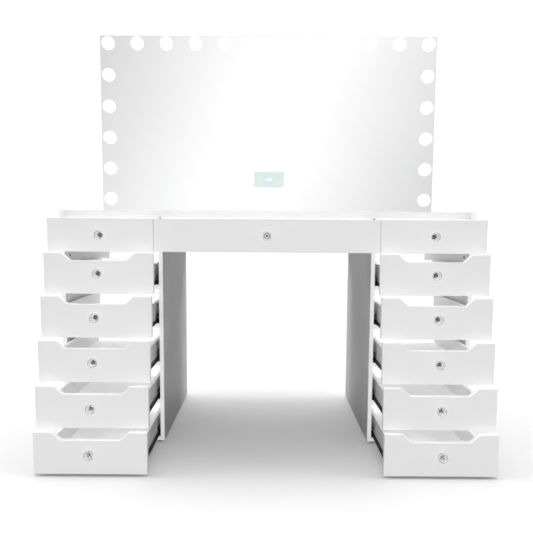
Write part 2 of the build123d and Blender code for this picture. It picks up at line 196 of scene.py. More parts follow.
def rounded_box(low, high, edge, steps=2):
    """A board with rounded edges. Each side is a grid of points q on the square-edged box, and
    p = c + edge * (q - c) / |q - c|, where c is the point nearest to q in the box shrunk by edge.
    Near an edge the grid's lines are spaced by equal angles."""
    low, high = np.array(low, float), np.array(high, float)
    edge = min(edge, 0.49 * (high - low).min())
    reach = edge * np.tan(np.linspace(math.pi / 4, 0, steps + 1))
    lines = [np.concatenate((low[axis] + edge - reach, high[axis] - edge + reach[::-1]))
             for axis in range(3)]
    count = 2 * steps + 2
    points, quads = [], []
    for axis in range(3):
        u, v = (axis + 1) % 3, (axis + 2) % 3
        for wall, order in ((low[axis], (0, 3, 2, 1)), (high[axis], (0, 1, 2, 3))):
            grid = np.zeros((count, count, 3))
            grid[..., axis] = wall
            grid[..., u] = lines[u][:, None]
            grid[..., v] = lines[v][None, :]
            quads.append(grid_quads(count, count)[:, order] + count * count * len(points))
            points.append(grid.reshape(-1, 3))
    points = np.concatenate(points)
    core = np.clip(points, low + edge, high - edge)
    normals = (points - core) / np.linalg.norm(points - core, axis=1, keepdims=True)
    return welded(core + edge * normals, np.concatenate(quads), normals)


def rounded_outline(corners, radii, steps=5):
    """A closed flat outline with its corners as arcs. An arc of radius r at a corner that turns by
    t starts r * tan(t / 2) before it. Returns the points and their outward normals."""
    corners = np.asarray(corners, float)
    before = corners - np.roll(corners, 1, axis=0)
    after = np.roll(corners, -1, axis=0) - corners
    before /= np.linalg.norm(before, axis=1, keepdims=True)
    after /= np.linalg.norm(after, axis=1, keepdims=True)
    turn = np.arctan2(before[:, 0] * after[:, 1] - before[:, 1] * after[:, 0],
                      (before * after).sum(axis=1))
    radii = np.broadcast_to(np.asarray(radii, float), turn.shape)
    start = corners - before * (radii * np.tan(abs(turn) / 2))[:, None]
    right = np.stack((before[:, 1], -before[:, 0]), axis=1)
    inward = -np.sign(turn)[:, None] * right
    centre = start + inward * radii[:, None]
    share = np.linspace(0, 1, steps + 1)
    angle = turn[:, None] * share[None]
    cos, sin = np.cos(angle)[..., None], np.sin(angle)[..., None]
    across = np.stack((-right[:, 1], right[:, 0]), axis=1)
    normals = (right[:, None] * cos + across[:, None] * sin).reshape(-1, 2)
    side = np.repeat(np.sign(turn), steps + 1)[:, None]
    radius = np.repeat(radii, steps + 1)[:, None]
    points = np.repeat(centre, steps + 1, axis=0) + side * normals * radius
    return points, normals


def extruded(outline, low, high, edge, steps=2):
    """An outline in X and Z carried along Y, with rounded ends: the ring at angle a is drawn in by
    edge * (1 - sin a) along the outline's normals, edge * (1 - cos a) from the end."""
    flat, sides = outline
    angle = np.linspace(0, math.pi / 2, steps + 1)
    along = edge * (1 - np.cos(angle))
    draw = edge * (1 - np.sin(angle))
    draw = np.concatenate((draw, draw[::-1]))[:, None, None]
    y = np.concatenate((low + along, (high - along)[::-1]))
    spread = np.concatenate((np.sin(angle), np.sin(angle)[::-1]))[:, None]
    tilt = np.concatenate((-np.cos(angle), np.cos(angle)[::-1]))[:, None]
    rings = flat[None] - draw * sides[None]
    points = np.stack(np.broadcast_arrays(rings[..., 0], y[:, None], rings[..., 1]), axis=-1)
    normals = np.stack(np.broadcast_arrays(spread * sides[:, 0], tilt, spread * sides[:, 1]),
                       axis=-1)
    rows, columns = len(y), len(flat)
    caps = np.stack((np.arange(columns), np.arange(columns) + (rows - 1) * columns))
    return Surface(points.reshape(-1, 3), [grid_quads(rows, columns, closed_columns=True), caps],
                   normals.reshape(-1, 3))


def turned(profile, centre, direction, segments=32):
    """A profile of (radius, distance along direction) turned about its axis through centre. An end
    with no radius closes in a point, and one with a radius is closed by a flat face."""
    profile = np.asarray(profile, float)
    axis = np.asarray(direction, float)
    helper = np.eye(3)[np.argmin(abs(axis))]
    across = np.cross(axis, helper)
    across /= np.linalg.norm(across)
    third = np.cross(axis, across)
    angle = np.linspace(0, 2 * math.pi, segments, endpoint=False)
    circle = np.cos(angle)[:, None] * across + np.sin(angle)[:, None] * third
    rings = profile[profile[:, 0] > 0]
    radii, along = rings[:, 0, None, None], rings[:, 1, None, None]
    points = (radii * circle[None] + along * axis).reshape(-1, 3)
    faces = [grid_quads(len(rings), segments, closed_columns=True)]
    ring = np.arange(segments)
    for end, first in ((0, 0), (-1, (len(rings) - 1) * segments)):
        if profile[end, 0] > 0:
            faces.append((ring + first)[None])
        else:
            pole = np.full(segments, len(points))
            faces.append(np.stack((ring + first, np.roll(ring, -1) + first, pole), axis=1))
            points = np.concatenate((points, (profile[end, 1] * axis)[None]))
    return Surface(points + np.asarray(centre, float), faces)


def cut_stone(levels, facets):
    """A faceted stone along -Y: rings of (distance, radius, turn), each ring's turn a share of one
    facet. Rings with the same turn are joined by quads, the others by triangles."""
    step = 2 * math.pi / facets
    number = np.arange(facets)
    after = (number + 1) % facets
    points = np.concatenate([
        np.stack((radius * np.cos((number + turn) * step), np.full(facets, -distance),
                  radius * np.sin((number + turn) * step)), axis=1)
        for distance, radius, turn in levels])
    faces = []
    for ring in range(len(levels) - 1):
        a, b = ring * facets, (ring + 1) * facets
        if levels[ring][2] == levels[ring + 1][2]:
            faces.append(np.stack((number + a, after + a, after + b, number + b), axis=1))
        elif levels[ring][2] < levels[ring + 1][2]:
            faces.append(np.stack((number + a, after + a, number + b), axis=1))
            faces.append(np.stack((number + b, after + a, after + b), axis=1))
        else:
            faces.append(np.stack((number + b, after + b, number + a), axis=1))
            faces.append(np.stack((number + a, after + b, after + a), axis=1))
    ends = np.stack((number, number + (len(levels) - 1) * facets))
    return Surface(points, faces + [ends])


# ------------------------------------------------------------------ pieces
GROUPS = {}
MATERIALS = {}


def make_piece(name, parts, node=None, body=STATION, smooth_below=35):
    """An object made of (surface, material name) pairs that rides on a body and may stand for a CAD
    node; a tuple of names gives one to each group of the surface's faces. Where every surface knows
    its normals they are kept; elsewhere edges flatter than smooth_below degrees are smooth."""
    whole = joined(surface for surface, _ in parts)
    given = [finish for surface, names in parts
             for finish in (names if isinstance(names, tuple) else (names,) * len(surface.faces))]
    finishes = list(dict.fromkeys(given))
    totals = np.concatenate([np.full(len(g), g.shape[1]) for g in whole.faces])
    corners = np.concatenate([g.ravel() for g in whole.faces])
    starts = np.concatenate(([0], np.cumsum(totals)[:-1]))
    numbers = np.concatenate([np.full(len(g), finishes.index(finish))
                              for finish, g in zip(given, whole.faces)])
    mesh = bpy.data.meshes.new(name)
    mesh.vertices.add(len(whole.points))
    mesh.vertices.foreach_set("co", whole.points.ravel())
    mesh.loops.add(len(corners))
    mesh.loops.foreach_set("vertex_index", corners.astype(np.int32))
    mesh.polygons.add(len(totals))
    mesh.polygons.foreach_set("loop_start", starts.astype(np.int32))
    mesh.polygons.foreach_set("material_index", numbers.astype(np.int32))
    mesh.update(calc_edges=True)
    for finish in finishes:
        mesh.materials.append(MATERIALS[finish])
    work = bmesh.new()
    work.from_mesh(mesh)
    bmesh.ops.recalc_face_normals(work, faces=work.faces[:])
    work.to_mesh(mesh)
    work.free()
    mesh.polygons.foreach_set("use_smooth", np.full(len(totals), smooth_below > 0))
    if whole.normals is not None:
        mesh.normals_split_custom_set_from_vertices(whole.normals.tolist())
    elif smooth_below > 0:
        mesh.set_sharp_from_angle(angle=math.radians(smooth_below))
    piece = bpy.data.objects.new(name, mesh)
    bpy.context.scene.collection.objects.link(piece)
    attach(piece, body)
    if node:
        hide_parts(node)
    return piece


def node_box(node):
    """Lowest and highest corner of a CAD node as arrays."""
    low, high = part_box(node)
    return np.array(low), np.array(high)


def node_points(node):
    """A CAD node's points."""
    mesh = frame["nodes"][node].data
    points = np.zeros(len(mesh.vertices) * 3)
    mesh.vertices.foreach_get("co", points)
    return points.reshape(-1, 3)


def node_solids(node):
    """Lowest and highest corners of a node's separate solids, which touch nowhere. Each point takes
    the lowest number among its triangle's points until nothing changes."""
    mesh, points = frame["nodes"][node].data, node_points(node)
    mesh.calc_loop_triangles()
    triangles = np.zeros(len(mesh.loop_triangles) * 3, np.int32)
    mesh.loop_triangles.foreach_get("vertices", triangles)
    _, first, number = np.unique(np.round(points, 5), axis=0, return_index=True,
                                 return_inverse=True)
    triangles = number.reshape(-1)[triangles].reshape(-1, 3)
    labels = np.arange(len(first))
    while True:
        lowest = labels[triangles].min(axis=1)
        fresh = labels.copy()
        np.minimum.at(fresh, triangles.ravel(), np.repeat(lowest, 3))
        fresh = fresh[fresh]
        if (fresh == labels).all():
            break
        labels = fresh
    groups = [points[first][labels == one] for one in np.unique(labels)]
    return [(group.min(axis=0), group.max(axis=0)) for group in groups]


def glass_face():
    """How far along Y the mirror's front face stands."""
    return node_box("mirror_glass")[0][Y]


# ------------------------------------------------------------------ shader groups
def new_group(name, inputs, outputs):
    """An empty shader group: its tree, its inputs' sockets and its end node."""
    tree = bpy.data.node_groups.new(name, "ShaderNodeTree")
    for label, default in inputs.items():
        kind = "NodeSocketColor" if isinstance(default, tuple) else "NodeSocketFloat"
        socket = tree.interface.new_socket(name=label, in_out="INPUT", socket_type=kind)
        socket.default_value = default
    for label in outputs:
        kind = "NodeSocketColor" if label == "Colour" else "NodeSocketFloat"
        tree.interface.new_socket(name=label, in_out="OUTPUT", socket_type=kind)
    GROUPS[name] = tree
    return tree, tree.nodes.new("NodeGroupInput").outputs, tree.nodes.new("NodeGroupOutput")


def add_node(tree, kind, links=(), **settings):
    """A node with its settings, and links given as (input, output socket or value)."""
    node = tree.nodes.new(kind)
    for key, value in settings.items():
        setattr(node, key, value)
    for socket, source in links:
        if isinstance(source, bpy.types.NodeSocket):
            tree.links.new(source, node.inputs[socket])
        else:
            node.inputs[socket].default_value = source
    return node


def connect(tree, node, **sources):
    """Link sockets to a node's inputs by name, where an underscore stands for a space."""
    for label, source in sources.items():
        tree.links.new(source, node.inputs[label.replace("_", " ")])


def set_values(node, values):
    """Set a node's inputs by name, where an underscore stands for a space."""
    for label, value in values.items():
        node.inputs[label.replace("_", " ")].default_value = value


def object_place(tree):
    """Object coordinates."""
    return add_node(tree, "ShaderNodeTexCoord").outputs["Object"]


def noise(tree, vector, scale, detail=2.0, roughness=0.5):
    """A noise pattern's value, from 0 to 1."""
    links = [("Vector", vector), ("Scale", scale), ("Detail", detail), ("Roughness", roughness)]
    return add_node(tree, "ShaderNodeTexNoise", links).outputs["Fac"]


def ranged(tree, value, low, high, from_low=0.3, from_high=0.7):
    """The value spread from one range to another, held at its ends."""
    links = [("Value", value), ("From Min", from_low), ("From Max", from_high), ("To Min", low),
             ("To Max", high)]
    return add_node(tree, "ShaderNodeMapRange", links).outputs["Result"]


def scaled_colour(tree, tint, share):
    """The colour times a share that changes over the surface."""
    node = add_node(tree, "ShaderNodeVectorMath", [(0, tint), (1, share)], operation="MULTIPLY")
    return node.outputs["Vector"]


def calc(tree, operation, *values):
    """The result of one step of arithmetic."""
    return add_node(tree, "ShaderNodeMath", enumerate(values), operation=operation).outputs[0]


def build_sprayed_skin():
    """Sprayed lacquer or powder: a slow mottle in the colour, a fine ripple and uneven gloss."""
    tree, given, end = new_group(
        "sprayed_skin",
        {"Colour": (0.8, 0.8, 0.8, 1.0), "Mottle": 0.02, "Gloss": 0.35, "Gloss Spread": 0.05,
         "Ripple Scale": 300.0},
        ("Colour", "Roughness", "Height"))
    place = object_place(tree)
    slow = ranged(tree, noise(tree, place, 2.6, 3.0), 0.0, 1.0)
    shade = calc(tree, "SUBTRACT", 1.0, calc(tree, "MULTIPLY", given["Mottle"], slow))
    patch = ranged(tree, noise(tree, place, 9.0, 4.0), -1.0, 1.0)
    uneven = calc(tree, "MULTIPLY", given["Gloss Spread"], patch)
    connect(tree, end, Colour=scaled_colour(tree, given["Colour"], shade),
            Roughness=calc(tree, "ADD", given["Gloss"], uneven),
            Height=noise(tree, place, given["Ripple Scale"], 2.0, 0.6))


def build_hairline_scuffs():
    """Fine marks of use: sparse hairline scuffs, longer one way than the other."""
    tree, given, end = new_group("hairline_scuffs", {"Density": 0.5, "Scale": 60.0}, ("Mask",))
    place = object_place(tree)
    drawn_out = add_node(tree, "ShaderNodeMapping", [
        ("Vector", place), ("Rotation", (0.3, 0.5, 0.9)), ("Scale", (1.0, 9.0, 9.0))])
    lines = noise(tree, drawn_out.outputs["Vector"], given["Scale"], 1.0)
    where = ranged(tree, noise(tree, place, 6.0, 3.0), 0.0, 1.0, 0.45, 0.7)
    thin = ranged(tree, lines, 0.0, 1.0, 0.66, 0.72)
    marks = calc(tree, "MULTIPLY", thin, where)
    connect(tree, end, Mask=calc(tree, "MULTIPLY", marks, given["Density"]))


def build_drawn_steel():
    """Rolled or drawn metal: streaks along Y in colour and relief, and an oil film in patches."""
    tree, given, end = new_group(
        "drawn_steel",
        {"Colour": (0.5, 0.5, 0.5, 1.0), "Streak": 0.2, "Gloss": 0.3, "Film": 0.1},
        ("Colour", "Roughness", "Height"))
    place = object_place(tree)
    along = add_node(tree, "ShaderNodeMapping", [("Vector", place), ("Scale", (1.0, 0.03, 1.0))])
    streak = noise(tree, along.outputs["Vector"], 900.0, 3.0)
    change = calc(tree, "MULTIPLY", given["Streak"], ranged(tree, streak, -1.0, 1.0))
    shade = calc(tree, "ADD", 1.0, change)
    patches = ranged(tree, noise(tree, place, 14.0, 3.0), 0.0, 1.0, 0.4, 0.65)
    film = calc(tree, "MULTIPLY", given["Film"], patches)
    connect(tree, end, Colour=scaled_colour(tree, given["Colour"], shade),
            Roughness=calc(tree, "SUBTRACT", given["Gloss"], film), Height=streak)


# ------------------------------------------------------------------ materials
def rgba(value):
    """A colour with full opacity."""
    return (*value, 1.0)


def new_material(name, **values):
    """A material's tree and its Principled BSDF, whose plain values are given by socket name."""
    material = bpy.data.materials.new(name)
    material.use_nodes = True
    MATERIALS[name] = material
    shader = material.node_tree.nodes["Principled BSDF"]
    set_values(shader, values)
    return material.node_tree, shader


def skinned(name, group, relief, skin, **values):
    """A material whose colour, roughness and relief come from a shader group."""
    tree, shader = new_material(name, **values)
    node = add_node(tree, "ShaderNodeGroup", node_tree=GROUPS[group])
    set_values(node, skin)
    strength, distance = relief
    bump = add_node(tree, "ShaderNodeBump", [("Strength", strength), ("Distance", distance),
                                             ("Height", node.outputs["Height"])])
    connect(tree, shader, Base_Color=node.outputs["Colour"], Roughness=node.outputs["Roughness"],
            Normal=bump.outputs["Normal"])
    return tree, shader, node


def lacquer(name, tint, gloss, spread, ripple, relief, coat, scuffs=0.35):
    """Sprayed lacquer on board, with hairline scuffs that roughen it."""
    skin = {"Colour": rgba(tint), "Mottle": 0.018, "Gloss": gloss, "Gloss Spread": spread,
            "Ripple Scale": ripple}
    tree, shader, node = skinned(name, "sprayed_skin", relief, skin, Coat_Weight=coat,
                                 Coat_Roughness=0.12, IOR=1.5)
    marks = add_node(tree, "ShaderNodeGroup", node_tree=GROUPS["hairline_scuffs"])
    set_values(marks, {"Density": scuffs, "Scale": 45.0})
    rougher = calc(tree, "MULTIPLY", marks.outputs["Mask"], 0.25)
    connect(tree, shader, Roughness=calc(tree, "ADD", node.outputs["Roughness"], rougher))


def moulded(name, tint, gloss, grain, **values):
    """Moulded plastic or rubber with a fine spark-eroded grain."""
    skin = {"Colour": rgba(tint), "Mottle": 0.03, "Gloss": gloss, "Gloss Spread": 0.04,
            "Ripple Scale": grain}
    skinned(name, "sprayed_skin", (0.25, 0.0002), skin, **values)


def drawn(name, tint, streak, gloss, film, relief, **values):
    """Rolled, drawn or polished metal."""
    skin = {"Colour": rgba(tint), "Streak": streak, "Gloss": gloss, "Film": film}
    skinned(name, "drawn_steel", (relief, 0.0001), skin, **values)


def clouded(name, tint, cloud, shine, **values):
    """Glass or silver with a slow change in its tone and its gloss, each given as a noise scale,
    its detail, and the lowest and highest value."""
    tree, shader = new_material(name, **values)
    place = object_place(tree)
    tone, gloss = (ranged(tree, noise(tree, place, *pattern[:2]), *pattern[2:])
                   for pattern in (cloud, shine))
    connect(tree, shader, Base_Color=scaled_colour(tree, tint, tone), Roughness=gloss)


def build_materials(colours):
    """Every finish of the station."""
    build_sprayed_skin()
    build_hairline_scuffs()
    build_drawn_steel()
    lacquer("case_lacquer", colours.case, 0.42, 0.04, 420.0, (0.10, 0.0003), 0.0)
    lacquer("front_lacquer", colours.front, 0.34, 0.04, 260.0, (0.10, 0.0004), 0.25)
    # The desk top's lacquer: a darker copy of the white lacquer, as painted shade against the
    # overhead light.
    lacquer("top_lacquer", colours.top, 0.24, 0.04, 200.0, (0.08, 0.0004), 0.5)
    lacquer("box_foil", colours.foil, 0.5, 0.05, 700.0, (0.16, 0.0002), 0.0, scuffs=0.6)
    lacquer("cover_powder", colours.sheet, 0.55, 0.04, 900.0, (0.35, 0.0003), 0.0)

    drawn("runner_black", colours.runner, 0.35, 0.38, 0.14, 0.12, Metallic=0.35,
          Specular_IOR_Level=0.5)
    drawn("screw_black", (0.03, 0.03, 0.032), 0.3, 0.42, 0.1, 0.1, Metallic=0.7)
    drawn("knob_metal", (0.90, 0.90, 0.90), 0.05, 0.16, 0.05, 0.04, Metallic=1.0)
    drawn("pin_brass", (0.78, 0.70, 0.5), 0.08, 0.25, 0.05, 0.05, Metallic=1.0)
    # Near-black seat under each crystal: painted shade for the knob's dark centre.
    drawn("stone_seat", (0.05, 0.05, 0.052), 0.1, 0.3, 0.05, 0.04, Metallic=0.6)

    moulded("bumper_rubber", (0.10, 0.10, 0.10), 0.7, 1500.0)
    moulded("socket_plastic", colours.plastic, 0.3, 1200.0)
    moulded("black_plastic", (0.02, 0.02, 0.02), 0.45, 1400.0)
    moulded("driver_case", (0.62, 0.62, 0.62), 0.5, 1400.0)
    moulded("cable_jacket", (0.8, 0.8, 0.8), 0.5, 1600.0)
    moulded("display_case", (0.08, 0.09, 0.10), 0.5, 1400.0)

    lamp_light = (1.0, 0.99, 0.97, 1.0)
    moulded("opal_diffuser", colours.opal, 0.3, 1800.0, Emission_Color=lamp_light,
            Emission_Strength=0.75, Subsurface_Weight=0.2, Subsurface_Radius=(0.01, 0.01, 0.01))
    moulded("bulb_skirt", colours.plastic, 0.35, 1800.0, Emission_Color=lamp_light,
            Emission_Strength=0.3)
    for name, tint in (("lit_window", colours.window), ("window_dial", colours.dial),
                       ("window_bar", (0.90, 0.97, 0.95)), ("window_mark", (0.78, 0.84, 0.88))):
        moulded(name, [0.45 * part for part in tint], 0.5, 900.0, Emission_Color=rgba(tint),
                Emission_Strength=0.5)

    clouded("mirror_silver", (0.995, 1.0, 0.998), (3.0, 3.0, 0.935, 0.955),
            (3.0, 3.0, 0.004, 0.012), Metallic=1.0)
    clouded("glass_edge", (0.36, 0.45, 0.43), (18.0, 3.0, 0.9, 1.0), (300.0, 2.0, 0.12, 0.3),
            Metallic=0.0, IOR=1.52, Coat_Weight=0.6)
    clouded("cut_crystal", (0.99, 0.995, 1.0), (90.0, 2.0, 0.93, 0.99), (400.0, 2.0, 0.0, 0.03),
            Transmission_Weight=1.0, IOR=1.56)


# ------------------------------------------------------------------ screws and runner members
RUNNER_SCREW_HEAD = 0.0018


def pan_head(radius, height):
    """Profile of a domed screw head with a round recess, from its rim to its middle."""
    recess = 0.34 * radius
    return [(radius, 0.0), (radius, 0.35 * height), (0.93 * radius, 0.62 * height),
            (0.72 * radius, 0.88 * height), (0.45 * radius, height), (recess, height),
            (0.8 * recess, 0.45 * height), (0.0, 0.38 * height)]


def channel_outline(metal, web, inwards, middle, height, reach, lip):
    """A channel's section in X and Z: a web against its board, two flanges, and turned-in lips
    where lip is more than the metal. The upper half mirrors the lower one and its radii."""
    half = height / 2
    outer, tip, inner = 1.6 * metal, 0.4 * metal, 0.6 * metal
    if lip > metal:
        side = [(0, -half, outer), (reach, -half, outer), (reach, -half + lip, tip),
                (reach - metal, -half + lip, tip), (reach - metal, -half + metal, inner),
                (metal, -half + metal, inner)]
    else:
        side = [(0, -half, outer), (reach, -half, tip), (reach, -half + metal, tip),
                (metal, -half + metal, inner)]
    side += [(x, -z, radius) for x, z, radius in reversed(side)]
    if inwards < 0:
        side.reverse()
    corners = [(web + inwards * x, middle + z) for x, z, _ in side]
    return rounded_outline(corners, [radius for _, _, radius in side], steps=3)


def runner_member(metal, web, inwards, section, ends, shares, head):
    """A channel along Y from its front end to its back end, and the heads of the screws in its web,
    each at its share of the length."""
    front, back = ends
    rail = extruded(channel_outline(metal, web, inwards, *section), front, back, 0.15 * metal, 1)
    heads = [turned(pan_head(head, RUNNER_SCREW_HEAD),
                    (web + inwards * metal, front + share * (back - front), section[0]),
                    (inwards, 0, 0), 16) for share in shares]
    return rail, heads


# ------------------------------------------------------------------ operators
class StationOperator:
    """What every operator of the station shares."""

    bl_options = {"REGISTER", "UNDO"}

    @property
    def sizes(self):
        return bpy.context.scene.station_sizes

    def make_boards(self, name, corners, node, finish="case_lacquer", slot="case_board",
                    edge=None):
        """One piece of rounded boards, each given by its lowest and highest corner."""
        edge = self.sizes.board_edge if edge is None else edge
        surface = joined(rounded_box(low, high, edge) for low, high in corners)
        make_piece(name, [(surface, finish)], node)


class STATION_OT_finishes(StationOperator, Operator):
    """Make every material of the station"""

    bl_idname = "station.finishes"
    bl_label = "Finishes"

    def execute(self, context):
        build_materials(context.scene.station_colours)
        return {"FINISHED"}


class STATION_OT_pedestals(StationOperator, Operator):
    """Make both pedestals' sides, decks and front rails"""

    bl_idname = "station.pedestals"
    bl_label = "Pedestals"

    def execute(self, context):
        board = self.sizes.board
        for side in ("left", "right"):
            sides, inner = f"{side}_pedestal_sides", f"{side}_pedestal_decks_and_rails"
            low, high = node_box(sides)
            self.make_boards(f"{side}_pedestal_side_boards",
                             [(low, (low[X] + board, high[Y], high[Z])),
                              ((high[X] - board, low[Y], low[Z]), high)], sides)
            self.make_boards(f"{side}_pedestal_inner_boards", self.decks(side, inner), inner)
        return {"FINISHED"}

    def decks(self, side, node):
        """Corners of the bottom deck, the top deck and a front rail between every two drawers."""
        low, high = node_box(node)
        board = self.sizes.board
        count = sum(name.startswith(f"{side}_drawer") for name in DRAWERS)
        pitch = (high[Z] - low[Z] - board) / count
        rail_back = low[Y] + self.sizes.rail_depth
        rails = [((low[X], low[Y], z), (high[X], rail_back, z + board))
                 for z in low[Z] + pitch * np.arange(1, count)]
        return [(low, (high[X], high[Y], low[Z] + board)),
                ((low[X], low[Y], high[Z] - board), high)] + rails


class STATION_OT_desk_unit(StationOperator, Operator):
    """Make the desk unit's ends, dividers, bottom, top rails, top board and all the thin backs"""

    bl_idname = "station.desk_unit"
    bl_label = "Desk unit"

    TOP_EDGE = 0.0016
    THIN_EDGE = 0.0005

    def execute(self, context):
        board = self.sizes.board
        low, high = node_box("desk_unit_panels")
        top_low, top_high = node_box("desk_top")
        back_low, back_high = node_box("back_panels")
        knee = node_box("right_pedestal_sides")[0][X]
        floor, rail_low = low[Z] + board, top_low[Z] - board
        rail_back = low[Y] + self.sizes.rail_depth
        boards = [((top_low[X], low[Y], low[Z]), (top_high[X], back_low[Y], floor)),
                  (low, (low[X] + board, high[Y], high[Z])),
                  ((high[X] - board, low[Y], low[Z]), high)]
        boards += [((x, low[Y], floor), (x + board, back_low[Y], top_low[Z]))
                   for x in (knee, -knee - board)]
        boards += [((left, low[Y], rail_low), (right, rail_back, top_low[Z]))
                   for left, right in ((top_low[X], -knee - board), (-knee, knee),
                                       (knee + board, top_high[X]))]
        self.make_boards("desk_unit_boards", boards, "desk_unit_panels")
        top = rounded_box(top_low, top_high, self.TOP_EDGE, 3)
        make_piece("desk_top_board", [(top, "top_lacquer")], "desk_top")
        backs = [((top_low[X], back_low[Y], low[Z]), (top_high[X], back_high[Y], top_low[Z]))]
        for side in ("left", "right"):
            deck_low, deck_high = node_box(f"{side}_pedestal_decks_and_rails")
            backs.append(((deck_low[X], back_low[Y], deck_low[Z]),
                          (deck_high[X], back_high[Y], deck_high[Z])))
        self.make_boards("thin_backs", backs, "back_panels", "box_foil", edge=self.THIN_EDGE)
        return {"FINISHED"}


class STATION_OT_runners(StationOperator, Operator):
    """Make the fixed members of the drawer runners"""

    bl_idname = "station.runners"
    bl_label = "Runners"

    SCREW_SHARES = (0.08, 0.5, 0.92)
    SCREW_RADIUS = 0.0036

    def execute(self, context):
        sizes = self.sizes
        rails, heads = [], []
        for low, high in node_solids("cabinet_runners"):
            middle = (low + high) / 2
            inwards = 1 if middle[X] < self.bay_middle(middle[X]) else -1
            web = low[X] if inwards > 0 else high[X]
            section = (middle[Z], high[Z] - low[Z], sizes.runner_reach, sizes.runner_lip)
            rail, screws = runner_member(sizes.runner_metal, web, inwards, section,
                                         (low[Y], high[Y]), self.SCREW_SHARES, self.SCREW_RADIUS)
            rails.append(rail)
            heads += screws
        make_piece("fixed_runners", [(joined(rails), "runner_black")],
                   "cabinet_runners")
        make_piece("fixed_runner_screws", [(joined(heads), "screw_black")])
        return {"FINISHED"}

    @staticmethod
    def bay_middle(x):
        """Middle of the bay that a runner at x belongs to: that of the drawer box nearest to it."""
        spans = [[corner[X] for corner in node_box(f"{name}_box")] for name in DRAWERS]
        left, right = min(spans, key=lambda span: max(span[0] - x, x - span[1]))
        return (left + right) / 2


class STATION_OT_drawers(StationOperator, Operator):
    """Make every drawer's front, box boards and moving runner members"""

    bl_idname = "station.drawers"
    bl_label = "Drawers"

    SIDE_EDGE = 0.0007
    BOTTOM_EDGE = 0.0002
    SCREW_SHARES = (0.09, 0.5, 0.91)
    SCREW_RADIUS = 0.0034

    def execute(self, context):
        for name in DRAWERS:
            self.front(name)
            self.box(name)
        return {"FINISHED"}

    def front(self, name):
        """The front: a plain board, or one with a hand notch where the drawer is in a pedestal.
        The notch's floor lies below the edge, between two slopes, and all corners are arcs."""
        sizes = self.sizes
        low, high = node_box(f"{name}_front")
        if name.startswith("top"):
            surface = rounded_box(low, high, 0.5 * sizes.front_edge, 3)
        else:
            left, right = low[X] + sizes.notch_from_side, high[X] - sizes.notch_from_side
            floor, slope = high[Z] - sizes.notch_depth, sizes.notch_slope
            corners = [(low[X], low[Z]), (high[X], low[Z]), (high[X], high[Z]), (right, high[Z]),
                       (right - slope, floor), (left + slope, floor), (left, high[Z]),
                       (low[X], high[Z])]
            plain, notch = 1.3 * sizes.front_edge, sizes.notch_radius
            outline = rounded_outline(corners, [plain] * 3 + [notch] * 4 + [plain], steps=6)
            surface = extruded(outline, low[Y], high[Y], sizes.front_edge, 3)
        make_piece(f"{name}_front_board", [(surface, "front_lacquer")],
                   f"{name}_front", name)

    def box(self, name):
        """Box sides, back and bottom, and the two moving runner members with their screws."""
        sizes, node = self.sizes, f"{name}_box"
        low, high = node_box(node)
        low, high = low + (sizes.slide_reach, 0, 0), high - (sizes.slide_reach, 0, 0)
        side, groove = sizes.box_side, sizes.groove_depth
        left, right, back = low[X] + side, high[X] - side, high[Y] - side
        floor = low[Z] + sizes.groove_height
        boards = [rounded_box(low, (left, high[Y], high[Z]), self.SIDE_EDGE),
                  rounded_box((right, low[Y], low[Z]), high, self.SIDE_EDGE),
                  rounded_box((left, back, low[Z]), (right, high[Y], high[Z]), self.SIDE_EDGE),
                  rounded_box((left - groove, low[Y], floor),
                              (right + groove, back + groove, floor + sizes.box_bottom),
                              self.BOTTOM_EDGE)]
        make_piece(f"{name}_box_boards", [(joined(boards), "box_foil")], node, name)
        section = (low[Z] + sizes.slide_over_box, sizes.slide_height, sizes.slide_reach, 0.0)
        rails, heads = [], []
        ends = self.slide_ends(node)
        for web, inwards in ((low[X], -1), (high[X], 1)):
            rail, screws = runner_member(sizes.runner_metal, web, inwards, section, ends,
                                         self.SCREW_SHARES, self.SCREW_RADIUS)
            rails.append(rail)
            heads += screws
        parts = [(joined(rails), "runner_black"), (joined(heads), "screw_black")]
        make_piece(f"{name}_slides", parts, node, name, smooth_below=40)

    @staticmethod
    def slide_ends(node):
        """Front and back of the moving members: the node's points outside the box's sides."""
        points = node_points(node)
        outside = points[points[:, X] > points[:, X].max() - 0.001]
        return outside[:, Y].min(), outside[:, Y].max()


class STATION_OT_knobs(StationOperator, Operator):
    """Make the crystal knobs with their metal bases and screws"""

    bl_idname = "station.knobs"
    bl_label = "Knobs"

    FACETS = 10
    STONE = ((0.0080, 0.0086, 0.0), (0.0120, 0.0132, 0.5), (0.0160, 0.0160, 0.0),
             (0.0192, 0.0160, 0.0), (0.0236, 0.0130, 0.5), (0.0280, 0.0078, 0.0))
    BASE = ((0.0110, 0.0), (0.0110, 0.0014), (0.0102, 0.0026), (0.0086, 0.0031), (0.0062, 0.0037),
            (0.0051, 0.0050), (0.0054, 0.0064), (0.0070, 0.0074), (0.0092, 0.0082),
            (0.0096, 0.0093), (0.0086, 0.0094), (0.0082, 0.0078), (0.0, 0.0074))
    # Near-black seat under the stone: painted shade that gives the knob its dark centre through the
    # crystal.
    SEAT = ((0.0046, 0.0075), (0.0044, 0.00795), (0.0, 0.00795))
    SCREW_RADIUS = 0.0045

    def execute(self, context):
        stone = cut_stone(self.STONE, self.FACETS)
        for name in DRAWERS:
            node = f"{name}_knob"
            low, high = node_box(node)
            front_low, front_high = node_box(f"{name}_front")
            x, _, z = (low + high) / 2
            face, back = (x, front_low[Y], z), (x, front_high[Y], z)
            clear = [(copied(stone, [face]), "cut_crystal")]
            clear = make_piece(f"{name}_crystal", clear, node, name, smooth_below=0)
            clear.visible_shadow = False
            base, seat = (turned(profile, face, (0, -1, 0), 40)
                          for profile in (self.BASE, self.SEAT))
            screw = pan_head(self.SCREW_RADIUS, high[Y] - front_high[Y])
            head = turned(screw, back, (0, 1, 0), 24)
            make_piece(f"{name}_knob_base", [(joined((base, head)), "knob_metal"),
                                             (seat, "stone_seat")], node, name)
        return {"FINISHED"}


